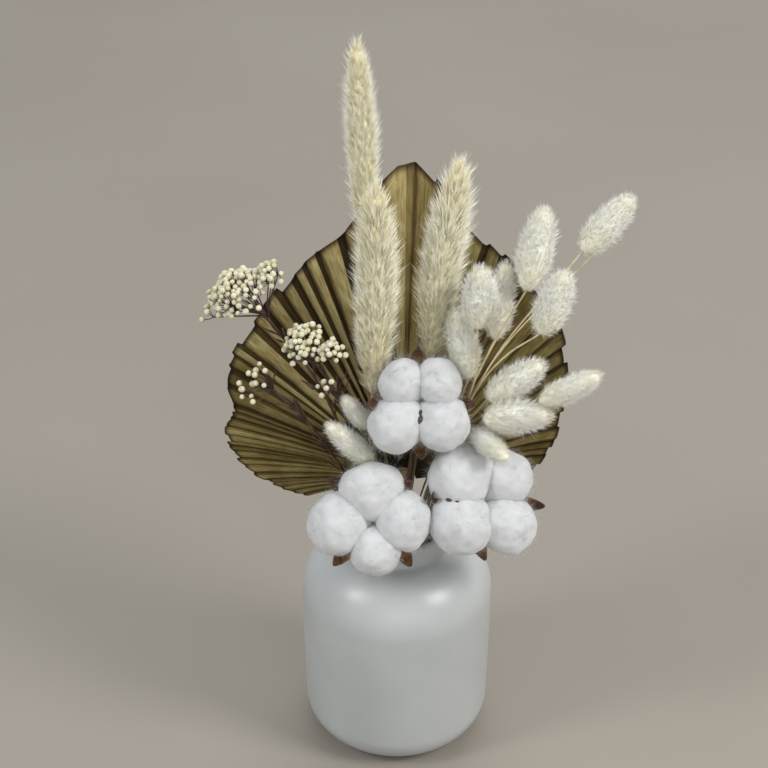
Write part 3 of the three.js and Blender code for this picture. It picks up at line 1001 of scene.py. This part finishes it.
PALM_TILT = math.radians(15)
PALM_INNER = 7 * MM
PALM_CUP = 12 * MM
COLUMNS_PER_PLEAT = 6
PALM_ROWS = 26
PALM_THICKNESS = 0.5 * MM
PETIOLE_SIDES = 8


def palm_hub():
    """The point that the pleats fan out from, a little below the top of the stalk."""
    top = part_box("palm_petiole")[1].z
    points = points_of("palm_petiole")
    centre = points[points[:, 2] > top - 2 * MM].mean(0)
    lean = Vector((0, math.sin(PALM_TILT), math.cos(PALM_TILT)))
    return Vector(centre) - lean * (PALM_INNER - 0.6 * MM)


def palm_rim(hub):
    """(angles from upright, blade lengths) of the CAD blade's cut edge."""
    flat = (points_of("palm_blade") - np.array(hub)) @ np.array(Matrix.Rotation(-PALM_TILT, 3, "X"))
    angles = np.degrees(np.arctan2(flat[:, 0], flat[:, 2])).round(0)
    lengths = np.hypot(flat[:, 0], flat[:, 2])
    kept = np.unique(angles)
    return kept, np.array([lengths[angles == a].max() for a in kept])


# Zones of the fan, by angle: (start, pleats, depth in mm, light face tint, dark face tint). The face
# tints are painted light and painted shade: one face of each pleat lit, the other shaded, and whole
# zones darker where the fan lies in shade.
PALM_ZONES = [
    (-98, 13, 2.0, 0.70, 0.42),
    (-69, 6, 2.8, 0.50, 0.18),
    (-50, 4, 4.0, 0.95, 0.10),
    (-31, 4, 4.6, 1.0, 0.06),
    (-13, 2, 5.5, 0.95, 0.04),
    (-4, 2, 3.0, 0.95, 0.5),
    (6, 3, 5.5, 0.76, 0.05),
    (23, 8, 3.4, 0.64, 0.18),
    (54, 9, 2.4, 0.58, 0.24),
]


def pleat_plan(last, rng):
    """Each pleat's start and end angle, depth, ridge place, two face tints of painted light and
    painted shade, and trim.
    """
    plan = []
    ends = [zone[0] for zone in PALM_ZONES[1:]] + [last]
    for (start, count, depth, light, dark), end in zip(PALM_ZONES, ends):
        widths = [rng.uniform(0.5, 1.6) for _ in range(count)]
        edges = start + (end - start) * np.hstack([0, np.cumsum(widths)]) / sum(widths)
        for first, second in zip(edges, edges[1:]):
            plan.append({
                "start": first,
                "end": second,
                "depth": depth * rng.uniform(0.8, 1.2) * MM,
                "ridge": rng.uniform(0.68, 0.88),
                # painted light on the pleat's first face, painted shade on its second
                "faces": (light * rng.uniform(0.72, 1.15), dark * rng.uniform(0.6, 1.9)),
                "trim": rng.uniform(0.972, 1.012),
            })
    return plan


def ridge_height(across):
    """How high a pleat stands, from 0 at its folds to 1 at its ridge halfway across."""
    return 2 * across if across <= 0.5 else 2 - 2 * across


class PleatedFan:
    """Places on the pleated blade, in its own plane: X across, Y forward, Z up."""

    def __init__(self, hub, rng):
        self.angles, self.lengths = palm_rim(hub)
        self.plan = pleat_plan(self.angles[-1], rng)
        self.columns = len(self.plan) * COLUMNS_PER_PLEAT
        self.side_reach = float(np.interp(80, self.angles, self.lengths))

    def pleat_at(self, column):
        """The pleat that a column is in, and how far across the pleat it is, from 0 to 1."""
        number = min(len(self.plan) - 1, int(column // COLUMNS_PER_PLEAT))
        return self.plan[number], column / COLUMNS_PER_PLEAT - number

    def point(self, column, out):
        """The place of a column, at a share of the way out from the hub to the rim."""
        pleat, across = self.pleat_at(column)
        height = ridge_height(across)
        ridge = pleat["ridge"]
        within = height * ridge if across <= 0.5 else 1 - height * (1 - ridge)
        angle = pleat["start"] + (pleat["end"] - pleat["start"]) * within
        rim = float(np.interp(angle, self.angles, self.lengths)) * pleat["trim"]
        reach = PALM_INNER + (rim - PALM_INNER) * out
        x = reach * math.sin(math.radians(angle))
        wave = noise.noise(Vector((angle / 14, out * 2.2, 3)))
        forward = (
            PALM_CUP * (x / self.side_reach) ** 2 * out
            + pleat["depth"] * (height - 0.5) * (0.2 + 0.8 * out)
            + 2.2 * MM * wave * out
        )
        return Vector((x, -forward, reach * math.cos(math.radians(angle))))


def add_corner_values(mesh, name, values):
    """Stores one number per face corner, so that neighbouring faces can differ at an edge."""
    attribute = mesh.attributes.new(name, "FLOAT", "CORNER")
    attribute.data.foreach_set("value", np.asarray(values, np.float32))


def add_palm_leaf():
    hub = palm_hub()
    fan = PleatedFan(hub, random.Random(21))
    bm = bmesh.new()
    bmesh.ops.create_grid(bm, x_segments=fan.columns, y_segments=PALM_ROWS, size=0.5)
    places = [((v.co.x + 0.5) * fan.columns, v.co.y + 0.5) for v in bm.verts]
    for vert, (column, out) in zip(bm.verts, places):
        vert.co = fan.point(round(column), out)
    layer = bm.loops.layers.uv.new("UVMap")
    painted_light_tones, fold_shade_masks = [], []
    for face in bm.faces:
        middle = sum(places[v.index][0] for v in face.verts) / len(face.verts)
        pleat, across = fan.pleat_at(middle)
        # the pleat's first face takes its painted light, its second face its painted shade; a little
        # random tone is added below
        painted_light_tone = pleat["faces"][0 if across < 0.5 else 1]
        for loop in face.loops:
            column, out = places[loop.vert.index]
            loop[layer].uv = (column / fan.columns, out)
            painted_light_tones.append(painted_light_tone + 0.10 * noise.noise(Vector((column / 2, out * 4, 0))))
            # how near the pleat's ridge this corner is, which the material turns into painted shade
            # in the folds
            fold_shade_masks.append(ridge_height(fan.pleat_at(column)[1]))
    place = Matrix.Translation(hub) @ Matrix.Rotation(-PALM_TILT, 4, "X")
    bmesh.ops.transform(bm, matrix=place, verts=bm.verts)
    blade = object_from(bm, "palm_fan", palm_olive())
    add_corner_values(blade.data, "painted_light_tone", painted_light_tones)
    add_corner_values(blade.data, "fold_shade_mask", fold_shade_masks)
    thick = blade.modifiers.new("thickness", "SOLIDIFY")
    thick.thickness = PALM_THICKNESS
    thick.offset = 0
    declare(blade, "palm", "palm_blade")
    centres, radii = centre_line("palm_petiole", PETIOLE_SIDES)
    run = [(Vector(c), r) for c, r in zip(centres, radii)]
    stalk_tone = bark("palm_stalk_tan", (0.16, 0.12, 0.05), (0.30, 0.25, 0.13), roughness=0.6)
    stalk = canes("palm_stalk", [run], stalk_tone, sides=10)
    declare(stalk, "palm", "palm_petiole")


# ---------------------------------------------------------------- the whole arrangement


def write_sizes():
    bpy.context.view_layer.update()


def main():
    add_camera()
    add_lights()
    add_floor()
    # the straw's shade of 0.25 is painted shade low on the stalks
    straw = bark("straw", (0.50, 0.41, 0.22), (0.74, 0.65, 0.42), roughness=0.55, shade=0.25)
    add_vase(satin_glaze())
    add_palm_leaf()
    add_plumes(straw)
    add_bunny_tails(straw)
    add_cotton()
    add_rice_flowers()
    write_sizes()


main()
